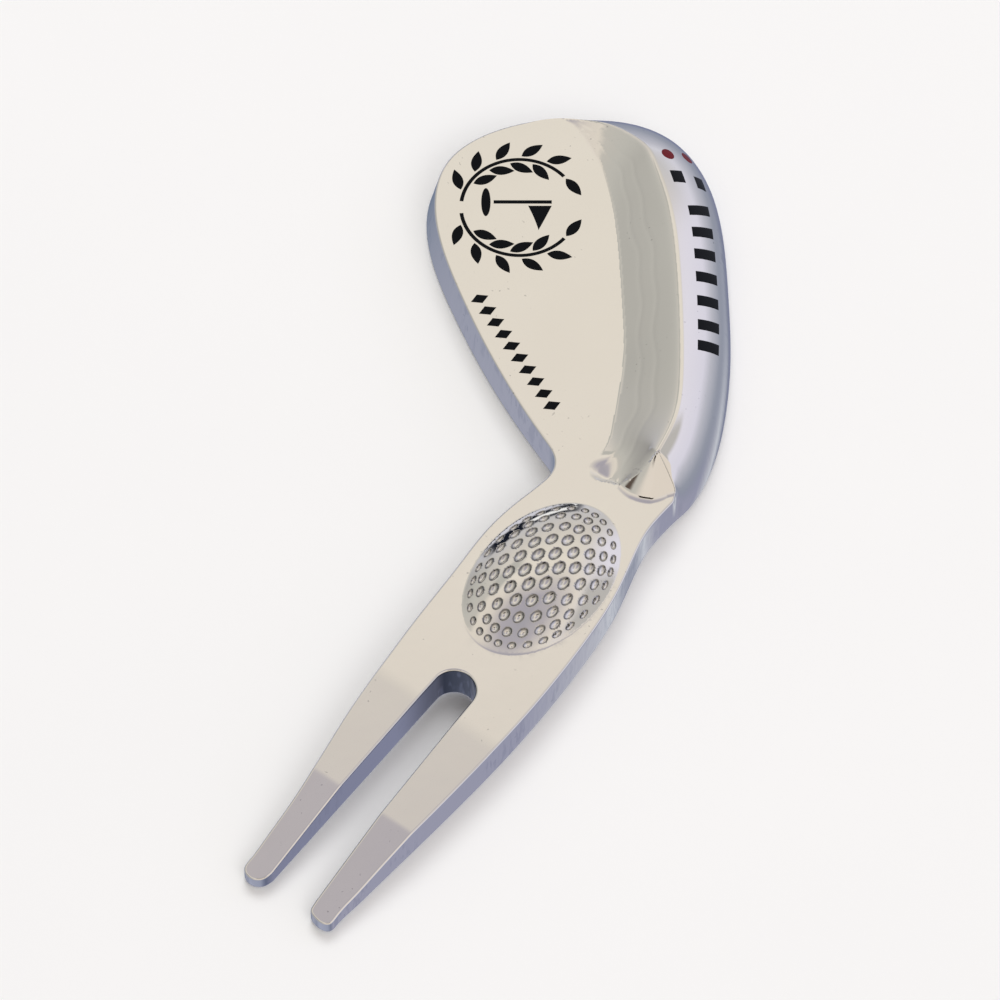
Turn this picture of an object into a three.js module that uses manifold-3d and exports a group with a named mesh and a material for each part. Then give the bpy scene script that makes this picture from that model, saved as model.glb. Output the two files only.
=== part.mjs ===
// Divot repair tool in the shape of a golf wedge.
//
// One plated zinc casting carries everything: a fork of two tapered tines, a neck with a
// domed and dimpled thumb pad, and a wedge head that lies on its flat face. The marks on
// the head are enamel, each poured into a recess of its own, flush with the metal.
//
// The model is built with X across the fork, Y along it from the tine tips to the head
// and Z up from the flat face. At the end it moves so that the origin is under the
// middle of the whole tool. All sizes are in millimetres.

import * as THREE from 'three';
import { ConvexGeometry } from 'three/addons/geometries/ConvexGeometry.js';
import { mergeVertices } from 'three/addons/utils/BufferGeometryUtils.js';
import Module from 'manifold-3d';

// ---------------------------------------------------------------- driving dimensions

const PLATE = 4.5; // thickness of the fork, the neck and the flat of the head
const EDGE = 0.3; // chamfer where the faces meet the side walls
const HEAD_DRAFT = 0.85; // how far the flat face stands out past the top edge at the toe
const DRAFT_START_X = -8; // the draft grows from nothing here
const DRAFT_LENGTH = 30;

const SLOT_HALF_WIDTH = 2.2; // at the round end of the slot
const SLOT_MOUTH_HALF_WIDTH = 2.65; // at the tips
const SLOT_CENTRE_Y = 27.3; // centre of the slot's round end
const RIGHT_TIP = [[2.65, 1.2], [2.85, 0.3], [3.6, -0.05], [4.6, -0.1], [5.2, 0.2], [5.38, 1.2]];
const LEFT_TIP = [[-5.4, 1.2], [-5.3, 0.2], [-4.6, -0.3], [-3.6, -0.2], [-2.95, 0.35], [-2.65, 1.2]];
const TINE_TOP = [[24.5, 4.5], [12.0, 4.0], [0.0, 1.7]]; // [along Y, height] of the tapered top

// Side walls, from the tine tips up. The right one ends at the heel of the head,
// the left one at the notch under the topline.
const RIGHT_SIDE = [
  [5.38, 1.2], [6.15, 9.5], [6.95, 18.5], [7.45, 27.0], [7.5, 32.0], [7.15, 40.0],
  [6.3, 46.3], [5.1, 50.9], [4.5, 54.0], [4.62, 58.4],
];
const LEFT_SIDE = [
  [-5.4, 1.2], [-5.45, 4.0], [-5.9, 11.6], [-6.95, 19.0], [-7.6, 26.0], [-8.05, 32.0], [-8.4, 39.0],
  [-8.65, 44.5], [-8.2, 48.6], [-7.55, 52.0], [-7.55, 54.0],
];
// The topline and the toe, from the notch round to where the muscle starts.
const TOPLINE_AND_TOE = [
  [-8.4, 55.3], [-10.2, 56.2], [-15.0, 58.1], [-21.2, 61.0], [-28.5, 65.1], [-34.6, 69.3],
  [-38.6, 73.8], [-40.05, 78.4], [-39.3, 82.6], [-37.2, 86.6], [-34.2, 90.2],
];

// Stations of the muscle from toe to heel. The crest is its ridge, with its height as a
// third number. The foot is where its ramp meets the flat, the edge is the leading edge.
// The first station lies inside the plate, so that the muscle grows out of it.
const MUSCLE = [
  { edge: [-34.7, 89.0], crest: [-34.0, 88.5, 4.3], foot: [-33.4, 88.2] },
  { edge: [-34.2, 90.2], crest: [-33.4, 89.3, 4.5], foot: [-33.1, 88.9] },
  { edge: [-31.5, 93.0], crest: [-30.8, 90.8, 4.75], foot: [-30.9, 89.7] },
  { edge: [-28.5, 95.2], crest: [-28.0, 91.6, 5.4], foot: [-28.7, 88.9] },
  { edge: [-24.0, 96.3], crest: [-24.05, 91.25, 6.55], foot: [-26.5, 87.7] },
  { edge: [-17.0, 94.2], crest: [-20.5, 89.4, 7.4], foot: [-24.3, 86.0] },
  { edge: [-11.9, 89.9], crest: [-16.0, 85.7, 7.8], foot: [-20.8, 82.8] },
  { edge: [-7.0, 84.1], crest: [-11.4, 80.8, 7.8], foot: [-16.4, 77.8] },
  { edge: [-2.3, 77.9], crest: [-6.7, 74.9, 7.8], foot: [-11.8, 72.1] },
  { edge: [1.2, 72.2], crest: [-3.1, 70.0, 7.8], foot: [-8.6, 67.3] },
  { edge: [3.8, 66.4], crest: [-0.3, 65.1, 7.8], foot: [-6.6, 63.4] },
  { edge: [4.85, 60.9], crest: [0.8, 60.4, 7.7], foot: [-4.95, 59.6] },
];
// Foot of the facet that closes the muscle at the heel.
const HEEL_FOOT = [[-4.8, 57.2], [-4.3, 55.9], [-2.3, 55.7], [0.7, 55.9], [2.7, 56.7], [3.9, 58.5]];
const SOLE_TILT = [20, 36, 52, 68, 84]; // slope of the convex sole from crest to edge, degrees
const TOE_FLATNESS = 0.7; // how far the sole loses its roundness at the toe
const TOE_FLATTEST = 0.25; // the share of the sole where it is flattest
const TOE_STATIONS = 0.55; // the share where it is fully round again
const RAMP_HOLLOW = 0.35; // how far the middle of the ramp sags, fading out towards the heel
const FOOT_SINK = 0.3; // the ramp runs this far below the flat so that the two join
const TUCK = 1.2; // the muscle's flat underside reaches this far under the plate
const PLATE_UNDER_SOLE = 0.65; // share of the sole's width the plate fills at the heel

const PAD = { x: -0.7, y: 42.9, halfWidth: 6.65, halfLength: 9.95, height: 1.9, fullness: 2.4 };
const DIMPLE_RINGS = 5;
const DIMPLE_RING_ANGLE = 13; // degrees between rings, as on a ball
const DIMPLE_RADIUS = 0.085; // as a share of the pad
const DIMPLE_DEPTH = 0.27;

const GROOVE = { count: 9, pitch: 2.2, length: 24, width: 0.5, depth: 0.3 };
const GROOVE_CENTRE = [-17.5, 76.6];
const GROOVE_DIRECTION = [0.61, -0.79]; // along the leading edge

const RECESS_DEPTH = 0.4;
const ENAMEL_GAP = 0.05; // between the enamel and the walls and floor of its recess

// ---------------------------------------------------------------- materials

const platedMetal = new THREE.MeshStandardMaterial({ color: 0xd9d5cd, metalness: 1.0, roughness: 0.12 });
const blackEnamel = new THREE.MeshStandardMaterial({ color: 0x0b0b0e, metalness: 0.0, roughness: 0.3 });
const redEnamel = new THREE.MeshStandardMaterial({ color: 0x8c1822, metalness: 0.0, roughness: 0.3 });

// ---------------------------------------------------------------- solids

const wasm = await Module();
wasm.setup();

/** A closed geometry as a solid that can be joined and cut. */
function solidFrom(geometry) {
  const bare = geometry.index ? geometry.toNonIndexed() : geometry.clone();
  bare.deleteAttribute('normal');
  bare.deleteAttribute('uv');
  const merged = mergeVertices(bare, 1e-4);
  return new wasm.Manifold(new wasm.Mesh({
    numProp: 3,
    vertProperties: new Float32Array(merged.attributes.position.array),
    triVerts: new Uint32Array(merged.index.array),
  }));
}

/** A solid as a named mesh. */
function meshFrom(name, solid, material) {
  const result = solid.getMesh();
  const geometry = new THREE.BufferGeometry();
  geometry.setAttribute('position', new THREE.BufferAttribute(result.vertProperties, 3));
  geometry.setIndex(new THREE.BufferAttribute(result.triVerts, 1));
  geometry.computeVertexNormals();
  const mesh = new THREE.Mesh(geometry, material);
  mesh.name = name;
  return mesh;
}

/** Moves every point of a closed loop inwards; inset may be a number or a function of the point. */
function insetLoop(loop, inset) {
  return loop.map((point, i) => {
    const before = loop[(i + loop.length - 1) % loop.length];
    const after = loop[(i + 1) % loop.length];
    const along = after.clone().sub(before).normalize();
    const distance = typeof inset === 'function' ? inset(point) : inset;
    return new THREE.Vector2(point.x - along.y * distance, point.y + along.x * distance);
  });
}

/** Joins loops of equally many points, each with its own heights, into one closed geometry. */
function loftLoops(loops) {
  const count = loops[0].length;
  const vertices = loops.flat().flatMap((point) => [point.x, point.y, point.z]);
  const faces = [];
  for (let k = 0; k + 1 < loops.length; k += 1) {
    for (let i = 0; i < count; i += 1) {
      const next = (i + 1) % count;
      const a = k * count + i;
      const b = k * count + next;
      faces.push(a, b, b + count, a, b + count, a + count);
    }
  }
  return { vertices, faces, count };
}

/** A slab with a chamfer all round, standing on Z = 0, wider at its foot where drafted. */
function slabGeometry(outline, height, draft) {
  const layers = [
    { z: 0, inset: () => EDGE },
    { z: EDGE, inset: (point) => draft(point) * (EDGE / height) },
    { z: height - EDGE, inset: (point) => draft(point) * (1 - EDGE / height) },
    { z: height, inset: (point) => draft(point) + EDGE },
  ];
  const loops = layers.map(({ z, inset }) => (
    insetLoop(outline, inset).map((point) => new THREE.Vector3(point.x, point.y, z))
  ));
  const { vertices, faces, count } = loftLoops(loops);
  const flat = (loop) => loop.map((point) => new THREE.Vector2(point.x, point.y));
  const topStart = (loops.length - 1) * count;
  for (const [a, b, c] of THREE.ShapeUtils.triangulateShape(flat(loops[0]), [])) {
    faces.push(a, c, b);
  }
  for (const [a, b, c] of THREE.ShapeUtils.triangulateShape(flat(loops.at(-1)), [])) {
    faces.push(topStart + a, topStart + b, topStart + c);
  }
  return geometryFrom(vertices, faces);
}

function geometryFrom(vertices, faces) {
  const geometry = new THREE.BufferGeometry();
  geometry.setAttribute('position', new THREE.Float32BufferAttribute(vertices, 3));
  geometry.setIndex(faces);
  return geometry;
}

function vectors2(points) {
  return points.map(([x, y]) => new THREE.Vector2(x, y));
}

/** Points along a smooth curve through the given points, without its last point. */
function smoothRun(points, stepsPerSpan) {
  const curve = new THREE.SplineCurve(vectors2(points));
  return curve.getPoints((points.length - 1) * stepsPerSpan).slice(0, -1);
}

// ---------------------------------------------------------------- the muscle

const edgeCurve = new THREE.CatmullRomCurve3(
  MUSCLE.map(({ edge: [x, y] }) => new THREE.Vector3(x, y, 0)), false, 'catmullrom', 0.5);
const crestCurve = new THREE.CatmullRomCurve3(
  MUSCLE.map(({ crest: [x, y, z] }) => new THREE.Vector3(x, y, z)), false, 'catmullrom', 0.5);
const footCurve = new THREE.CatmullRomCurve3(
  MUSCLE.map(({ foot: [x, y] }) => new THREE.Vector3(x, y, PLATE - FOOT_SINK)), false, 'catmullrom', 0.5);

/** A point of the sole: t runs from toe to heel, tilt is the slope there in degrees. */
function solePoint(t, tilt) {
  const crest = crestCurve.getPoint(t);
  const edge = edgeCurve.getPoint(t);
  const first = THREE.MathUtils.degToRad(SOLE_TILT[0]);
  const angle = THREE.MathUtils.degToRad(tilt);
  const across = (Math.sin(angle) - Math.sin(first)) / (1 - Math.sin(first));
  const round = crest.z * Math.cos(angle) / Math.cos(first);
  const straight = crest.z * (1 - across);
  const flatness = TOE_FLATNESS * THREE.MathUtils.smoothstep(t, 0, TOE_FLATTEST)
    * (1 - THREE.MathUtils.smoothstep(t, TOE_FLATTEST, TOE_STATIONS));
  return new THREE.Vector3(
    THREE.MathUtils.lerp(crest.x, edge.x, across),
    THREE.MathUtils.lerp(crest.y, edge.y, across),
    THREE.MathUtils.lerp(round, straight, flatness),
  );
}

/** The closed cross-section of the muscle at t, from the leading edge over the crest to the foot. */
function muscleSection(t) {
  const crest = crestCurve.getPoint(t);
  const edge = edgeCurve.getPoint(t);
  const foot = footCurve.getPoint(t);
  const inwards = new THREE.Vector3(foot.x - crest.x, foot.y - crest.y, 0).normalize();
  const toe = edge.clone().lerp(new THREE.Vector3(crest.x, crest.y, 0), EDGE / edge.distanceTo(crest));
  const rampMiddle = crest.clone().lerp(foot, 0.5);
  rampMiddle.z -= RAMP_HOLLOW * (1 - t);
  const under = new THREE.Vector3(crest.x, crest.y, 0).addScaledVector(inwards, TUCK);
  const sole = SOLE_TILT.toReversed().map((tilt) => solePoint(t, tilt));
  return [toe, ...sole, rampMiddle, foot, under];
}

/** The muscle between its first and last station, closed at both ends. */
function muscleGeometry(sections) {
  const { vertices, faces, count } = loftLoops(sections);
  const lastStart = (sections.length - 1) * count;
  for (let i = 1; i + 1 < count; i += 1) {
    faces.push(0, i + 1, i);
    faces.push(lastStart, lastStart + i, lastStart + i + 1);
  }
  return geometryFrom(vertices, faces);
}

/** The facet that closes the muscle at the heel, as the hull of its last section and its foot. */
function heelGeometry(lastSection) {
  const overlap = new THREE.Vector3(-0.02, 0.06, -0.02);
  const start = lastSection.map((point) => point.clone().add(overlap));
  const foot = HEEL_FOOT.map(([x, y]) => new THREE.Vector3(x, y, PLATE - EDGE / 3));
  const ground = HEEL_FOOT.map(([x, y]) => new THREE.Vector3(x - EDGE / 2, y, 0));
  return new ConvexGeometry([...start, ...foot, ...ground]);
}

// ---------------------------------------------------------------- the casting

function castOutline() {
  const slotEnd = new THREE.EllipseCurve(0, SLOT_CENTRE_Y, SLOT_HALF_WIDTH, SLOT_HALF_WIDTH, Math.PI, 0, true);
  const underSole = MUSCLE.map(({ crest, edge }, i) => {
    const share = (PLATE_UNDER_SOLE * i) / (MUSCLE.length - 1);
    return [0, 1].map((axis) => THREE.MathUtils.lerp(crest[axis], edge[axis], share));
  });
  return [
    ...smoothRun(RIGHT_TIP, 1),
    ...smoothRun(RIGHT_SIDE, 2),
    ...smoothRun(underSole.slice(1).reverse(), 2),
    ...smoothRun([...TOPLINE_AND_TOE].reverse(), 3),
    ...smoothRun([...LEFT_SIDE].reverse(), 2),
    ...smoothRun(LEFT_TIP, 1),
    new THREE.Vector2(-SLOT_MOUTH_HALF_WIDTH, LEFT_TIP.at(-1)[1]),
    ...slotEnd.getPoints(10),
  ];
}

function draftAt(point) {
  return HEAD_DRAFT * THREE.MathUtils.clamp((DRAFT_START_X - point.x) / DRAFT_LENGTH, 0, 1);
}

/** Everything above the tapered top of the tines. */
function tineCutGeometry() {
  const above = PLATE + 2;
  const tipSlope = (TINE_TOP[1][1] - TINE_TOP[2][1]) / (TINE_TOP[1][0] - TINE_TOP[2][0]);
  const overrun = 2;
  const profile = new THREE.Shape(vectors2([
    [-overrun, TINE_TOP[2][1] - overrun * tipSlope], TINE_TOP[2], TINE_TOP[1], TINE_TOP[0],
    [TINE_TOP[0][0], above], [-overrun, above],
  ]));
  const width = 4 * RIGHT_SIDE[0][0];
  const geometry = new THREE.ExtrudeGeometry(profile, { depth: width, bevelEnabled: false });
  // The profile's X becomes the tool's Y and its Y becomes Z.
  geometry.applyMatrix4(new THREE.Matrix4().makeBasis(
    new THREE.Vector3(0, 1, 0), new THREE.Vector3(0, 0, 1), new THREE.Vector3(1, 0, 0)));
  geometry.translate(-width / 2, 0, 0);
  return geometry;
}

function padHeight(share) {
  return PAD.height * (1 - share ** PAD.fullness);
}

function padGeometry() {
  const shares = [0, 0.25, 0.45, 0.65, 0.82, 1];
  const profile = [new THREE.Vector2(0, -1), new THREE.Vector2(1, -1)];
  for (const share of shares.toReversed()) {
    profile.push(new THREE.Vector2(share, padHeight(share)));
  }
  const geometry = new THREE.LatheGeometry(profile, 28);
  geometry.rotateX(Math.PI / 2);
  geometry.scale(PAD.halfWidth, PAD.halfLength, 1);
  geometry.translate(PAD.x, PAD.y, PLATE);
  return geometry;
}

/** Centres of the dimples in shares of the pad: a honeycomb that turns into rings at the rim. */
function dimplePlaces() {
  const places = [{ u: 0, v: 0, ring: 0 }];
  for (let ring = 1; ring <= DIMPLE_RINGS; ring += 1) {
    for (let side = 0; side < 6; side += 1) {
      for (let step = 0; step < ring; step += 1) {
        const corner = (side * Math.PI) / 3;
        const next = corner + Math.PI / 3;
        const mix = step / ring;
        const x = ring * THREE.MathUtils.lerp(Math.sin(corner), Math.sin(next), mix);
        const y = ring * THREE.MathUtils.lerp(Math.cos(corner), Math.cos(next), mix);
        const roundness = ring / DIMPLE_RINGS;
        const reach = THREE.MathUtils.lerp(Math.hypot(x, y), ring, roundness);
        const turn = Math.atan2(x, y);
        const radius = Math.sin(THREE.MathUtils.degToRad(DIMPLE_RING_ANGLE * reach));
        places.push({ u: radius * Math.sin(turn), v: radius * Math.cos(turn), ring });
      }
    }
  }
  return places;
}

function dimpleSolid({ u, v, ring }) {
  const size = DIMPLE_RADIUS * (1 - 0.35 * (ring / DIMPLE_RINGS) ** 2);
  const ball = new THREE.IcosahedronGeometry(1, 0);
  ball.scale(size * PAD.halfWidth * 1.2, size * PAD.halfLength * 1.1, 2 * DIMPLE_DEPTH);
  const surface = PLATE + padHeight(Math.hypot(u, v));
  ball.translate(PAD.x + u * PAD.halfWidth, PAD.y + v * PAD.halfLength, surface + DIMPLE_DEPTH);
  return solidFrom(ball);
}

/** One score line of the flat face, counted from the middle one. */
function grooveSolid(index) {
  const [x, y] = GROOVE_CENTRE;
  const [dx, dy] = GROOVE_DIRECTION;
  const offset = (index - (GROOVE.count - 1) / 2) * GROOVE.pitch;
  const bar = new THREE.BoxGeometry(GROOVE.length, GROOVE.width, 2 * GROOVE.depth);
  bar.rotateZ(Math.atan2(dy, dx));
  bar.translate(x - dy * offset, y + dx * offset, 0);
  return solidFrom(bar);
}

function plainCasting() {
  const stations = 2 * (MUSCLE.length - 1);
  const sections = Array.from({ length: stations + 1 }, (_, i) => muscleSection(i / stations));
  let solid = solidFrom(slabGeometry(castOutline(), PLATE, draftAt));
  solid = solid.add(solidFrom(muscleGeometry(sections)));
  solid = solid.add(solidFrom(heelGeometry(sections.at(-1))));
  solid = solid.add(solidFrom(padGeometry()));
  solid = solid.subtract(solidFrom(tineCutGeometry()));
  for (let i = 0; i < GROOVE.count; i += 1) {
    solid = solid.subtract(grooveSolid(i));
  }
  for (const place of dimplePlaces()) {
    solid = solid.subtract(dimpleSolid(place));
  }
  return solid;
}

// ---------------------------------------------------------------- the enamel marks

/** A prism over a flat loop, from depth below its plane to well above it, then placed. */
function markPrism(loop, depth, place) {
  const clear = 1.5;
  const geometry = new THREE.ExtrudeGeometry(new THREE.Shape(loop), { depth: depth + clear, bevelEnabled: false });
  geometry.translate(0, 0, -depth);
  geometry.applyMatrix4(place);
  return solidFrom(geometry);
}

/** The place of a mark on the flat of the head: v points from the topline to the crest. */
function flatPlace(x, y, turn) {
  return new THREE.Matrix4().makeRotationZ(turn).setPosition(x, y, PLATE);
}

/** The place of a mark on the sole: X runs towards the heel, Y across to the leading edge. */
function solePlace(t, tilt) {
  const small = 0.005;
  const along = solePoint(t + small, tilt).sub(solePoint(t - small, tilt)).normalize();
  const across = solePoint(t, tilt + 1).sub(solePoint(t, tilt - 1)).normalize();
  const out = new THREE.Vector3().crossVectors(along, across).normalize();
  across.crossVectors(out, along);
  return new THREE.Matrix4().makeBasis(along, across, out).setPosition(solePoint(t, tilt));
}

function ellipseLoop(radiusX, radiusY, count) {
  return new THREE.EllipseCurve(0, 0, radiusX, radiusY).getPoints(count).slice(0, -1);
}

function leafLoop(length, width) {
  const upper = new THREE.QuadraticBezierCurve(
    new THREE.Vector2(length, 0), new THREE.Vector2(length * 0.4, width), new THREE.Vector2(0, 0));
  const lower = new THREE.QuadraticBezierCurve(
    new THREE.Vector2(0, 0), new THREE.Vector2(length * 0.4, -width), new THREE.Vector2(length, 0));
  return [...upper.getPoints(5).slice(0, -1), ...lower.getPoints(5).slice(0, -1)];
}

const WREATH = { x: -29.6, y: 77.9, turn: -0.93, radius: 6.1, stemWidth: 0.42 };
const LEAF = { length: 2.7, width: 1.15, splay: 0.62, clearance: 0.2 };

/** A place inside the wreath, measured from its centre with V up towards the crest. */
function wreathPlace(u, v, turn = 0) {
  const local = new THREE.Matrix4().makeRotationZ(turn).setPosition(u, v, 0);
  return flatPlace(WREATH.x, WREATH.y, WREATH.turn).multiply(local);
}

function wreathStem(side) {
  const start = THREE.MathUtils.degToRad(7);
  const end = THREE.MathUtils.degToRad(140);
  const outer = [];
  const inner = [];
  const steps = 10;
  for (let i = 0; i <= steps; i += 1) {
    const angle = -Math.PI / 2 + side * THREE.MathUtils.lerp(start, end, i / steps);
    const direction = new THREE.Vector2(Math.cos(angle), Math.sin(angle));
    outer.push(direction.clone().multiplyScalar(WREATH.radius + WREATH.stemWidth / 2));
    inner.unshift(direction.clone().multiplyScalar(WREATH.radius - WREATH.stemWidth / 2));
  }
  const loop = [...outer, ...inner];
  return side > 0 ? loop : loop.reverse();
}

/** A leaf at an angle up the stem, leaning out of the wreath, into it, or on along the stem. */
function wreathLeaf(side, degrees, lean) {
  const angle = -Math.PI / 2 + side * THREE.MathUtils.degToRad(degrees);
  const offset = WREATH.radius + lean * (WREATH.stemWidth / 2 + LEAF.clearance);
  const heading = angle + side * (Math.PI / 2 - lean * LEAF.splay);
  return {
    loop: leafLoop(LEAF.length, LEAF.width),
    place: wreathPlace(offset * Math.cos(angle), offset * Math.sin(angle), heading),
  };
}

function wreathMarks() {
  const marks = [];
  for (const [name, side] of [['left', -1], ['right', 1]]) {
    marks.push({ name: `wreath_stem_${name}`, loop: wreathStem(side), place: wreathPlace(0, 0) });
    [20, 44, 68, 92, 116].forEach((degrees, i) => {
      marks.push({ name: `wreath_outer_leaf_${name}_${i + 1}`, ...wreathLeaf(side, degrees, 1) });
    });
    [32, 56, 80, 104].forEach((degrees, i) => {
      marks.push({ name: `wreath_inner_leaf_${name}_${i + 1}`, ...wreathLeaf(side, degrees, -1) });
    });
    marks.push({ name: `wreath_end_leaf_${name}`, ...wreathLeaf(side, 143, 0) });
  }
  return marks;
}

function flagMarks() {
  const pole = vectors2([[-0.9, -2.7], [-0.45, -2.7], [-0.45, 3.4], [-0.9, 3.4]]);
  const pennant = vectors2([[-0.2, 0.9], [1.3, 1.5], [2.9, 2.0], [1.4, 2.7], [-0.2, 3.4]]);
  return [
    { name: 'flag_pole', loop: pole, place: wreathPlace(0, 0) },
    { name: 'flag_pennant', loop: pennant, place: wreathPlace(0, 0) },
    { name: 'flag_hole', loop: ellipseLoop(1.8, 0.5, 16), place: wreathPlace(-0.65, -3.5) },
  ];
}

function lozengeMarks() {
  const first = new THREE.Vector2(-26.0, 66.2);
  const last = new THREE.Vector2(-12.2, 60.1);
  const turn = Math.atan2(last.y - first.y, last.x - first.x);
  const count = 10;
  const loop = vectors2([[0.62, 0], [0.1, 1.0], [-0.62, 0], [-0.1, -1.0]]);
  return Array.from({ length: count }, (_, i) => {
    const centre = first.clone().lerp(last, i / (count - 1));
    return { name: `topline_lozenge_${i + 1}`, loop, place: flatPlace(centre.x, centre.y, turn) };
  });
}

function soleMarks() {
  const bar = vectors2([[-0.15, -1.65], [1.15, -1.65], [0.15, 1.65], [-1.15, 1.65]]);
  const block = vectors2([[-0.75, -0.8], [0.95, -0.8], [0.75, 0.8], [-0.95, 0.8]]);
  const marks = [];
  const bars = 7;
  for (let i = 0; i < bars; i += 1) {
    const t = THREE.MathUtils.lerp(0.546, 0.759, i / (bars - 1));
    marks.push({ name: `sole_bar_${i + 1}`, loop: bar, place: solePlace(t, 44) });
  }
  [32, 54].forEach((tilt, i) => {
    marks.push({ name: `sole_block_${i + 1}`, loop: block, place: solePlace(0.486, tilt) });
    marks.push({
      name: `sole_dot_${i + 1}`,
      loop: ellipseLoop(0.8, 0.8, 12),
      place: solePlace(0.432, tilt),
      material: redEnamel,
    });
  });
  return marks;
}

// ---------------------------------------------------------------- assembly

const group = new THREE.Group();
const blank = plainCasting();
let casting = blank;
const marks = [...wreathMarks(), ...flagMarks(), ...lozengeMarks(), ...soleMarks()];
for (const { name, loop, place, material = blackEnamel } of marks) {
  casting = casting.subtract(markPrism(loop, RECESS_DEPTH, place));
  const poured = markPrism(insetLoop(loop, ENAMEL_GAP), RECESS_DEPTH - ENAMEL_GAP, place).intersect(blank);
  group.add(meshFrom(name, poured, material));
}
group.add(meshFrom('cast_body', casting, platedMetal));

const box = new THREE.Box3().setFromObject(group);
const middle = box.getCenter(new THREE.Vector3());
group.position.set(-middle.x, -middle.y, -box.min.z);

export default group;
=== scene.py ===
import math

import bpy
import numpy as np
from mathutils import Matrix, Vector
from mathutils.geometry import delaunay_2d_cdt


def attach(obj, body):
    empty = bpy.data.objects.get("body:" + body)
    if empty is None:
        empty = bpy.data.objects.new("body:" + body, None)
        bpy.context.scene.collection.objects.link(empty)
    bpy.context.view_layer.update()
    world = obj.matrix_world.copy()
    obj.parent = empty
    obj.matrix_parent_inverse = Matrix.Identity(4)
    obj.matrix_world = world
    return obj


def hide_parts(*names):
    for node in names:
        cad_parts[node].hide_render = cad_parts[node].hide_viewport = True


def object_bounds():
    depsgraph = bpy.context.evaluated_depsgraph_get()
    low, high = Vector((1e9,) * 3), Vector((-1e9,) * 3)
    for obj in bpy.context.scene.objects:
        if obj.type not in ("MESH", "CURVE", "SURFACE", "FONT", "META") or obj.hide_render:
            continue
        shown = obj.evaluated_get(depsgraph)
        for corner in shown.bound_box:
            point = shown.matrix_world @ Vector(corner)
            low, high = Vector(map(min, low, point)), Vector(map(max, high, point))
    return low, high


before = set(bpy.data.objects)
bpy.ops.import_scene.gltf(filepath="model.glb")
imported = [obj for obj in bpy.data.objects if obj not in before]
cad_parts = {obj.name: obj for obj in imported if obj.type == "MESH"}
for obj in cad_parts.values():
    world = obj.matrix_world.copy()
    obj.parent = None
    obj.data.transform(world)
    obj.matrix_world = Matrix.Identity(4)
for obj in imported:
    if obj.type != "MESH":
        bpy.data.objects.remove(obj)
CAD_LOW, CAD_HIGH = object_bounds()

# Divot repair tool in the shape of a golf wedge: one bright plated casting with its marks
# poured in enamel. Shapes are worked out in millimetres on the tool's own axes: X across
# the fork, Y along it from the tine tips, Z up from the flat face. place() moves them
# into the frame.

# ------------------------------------------------------------------ driving dimensions

MM = 0.001
PLATE = 4.5  # thickness of the fork, the neck and the flat of the head
TOP_ROUND = 0.25  # radius where the top meets the side walls
FOOT_ROUND = 0.3  # radius where the flat face meets the side walls
HEAD_DRAFT = 0.85  # how far the flat face stands out past the top edge at the toe
DRAFT_START_X = -8.0
DRAFT_LENGTH = 30.0
STEP = 0.25  # spacing of the mesh round the outline

SLOT_HALF_WIDTH = 2.2
SLOT_MOUTH_HALF_WIDTH = 2.65
SLOT_CENTRE_Y = 27.3
TAPER = [(0.0, 1.7), (12.0, 4.0), (24.5, 4.5)]  # height of the top along the tines

RIGHT_TIP = [(2.65, 1.2), (2.85, 0.3), (3.6, -0.05), (4.6, -0.1), (5.2, 0.2), (5.38, 1.2)]
LEFT_TIP = [(-5.4, 1.2), (-5.3, 0.2), (-4.6, -0.3), (-3.6, -0.2), (-2.95, 0.35), (-2.65, 1.2)]
RIGHT_SIDE = [
    (5.64, 4.0), (5.87, 6.5), (6.15, 9.5), (6.95, 18.5), (7.45, 27.0), (7.5, 32.0), (7.15, 40.0),
    (6.3, 46.3), (5.1, 50.9), (4.5, 54.0), (4.5, 56.8),
]
# Stations of the sole from heel to toe: the leading edge, and the crest with its height.
SOLE = [
    ((4.58, 58.1), (4.13, 58.2, 4.5)),
    ((4.68, 59.0), (3.9, 59.2, 4.75)),
    ((4.78, 59.7), (3.0, 59.65, 5.6)),
    ((4.84, 60.3), (1.9, 60.05, 6.7)),
    ((4.85, 60.9), (0.8, 60.4, 7.7)),
    ((3.8, 66.4), (-0.3, 65.1, 7.8)),
    ((1.2, 72.2), (-3.1, 70.0, 7.8)),
    ((-2.3, 77.9), (-6.7, 74.9, 7.8)),
    ((-7.0, 84.1), (-11.4, 80.8, 7.8)),
    ((-11.9, 89.9), (-16.0, 85.7, 7.8)),
    ((-17.0, 94.2), (-20.5, 89.4, 7.4)),
    ((-24.0, 96.3), (-24.05, 91.25, 6.55)),
    ((-28.5, 95.2), (-28.0, 91.6, 5.4)),
    ((-31.5, 93.0), (-30.8, 90.8, 4.75)),
    ((-34.1, 90.1), (-33.4, 89.3, 4.5)),
    ((-37.1, 86.5), (-36.3, 86.0, 4.5)),
]
HEEL_CORNER = 4  # the station where the crest turns into the heel facet's edge
TOPLINE_AND_TOE = [
    (-39.3, 82.6), (-40.05, 78.4), (-38.6, 73.8), (-34.6, 69.3),
    (-28.5, 65.1), (-21.2, 61.0), (-15.0, 58.1), (-10.2, 56.2), (-8.4, 55.3),
]
LEFT_SIDE = [
    (-7.55, 54.0), (-7.55, 52.0), (-8.2, 48.6), (-8.65, 44.5), (-8.4, 39.0), (-8.05, 32.0),
    (-7.6, 26.0), (-6.95, 19.0), (-5.9, 11.6), (-5.55, 7.0), (-5.43, 3.5),
]

CREST_ROUND = 0.9  # radius of the rounding between the crest and the sole
SOLE_START = math.radians(20)  # slope of the sole where that rounding ends
SOLE_END = math.radians(88)
RAMP_EASE = 0.06  # share of the ramp that is rounded off along the crest
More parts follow.
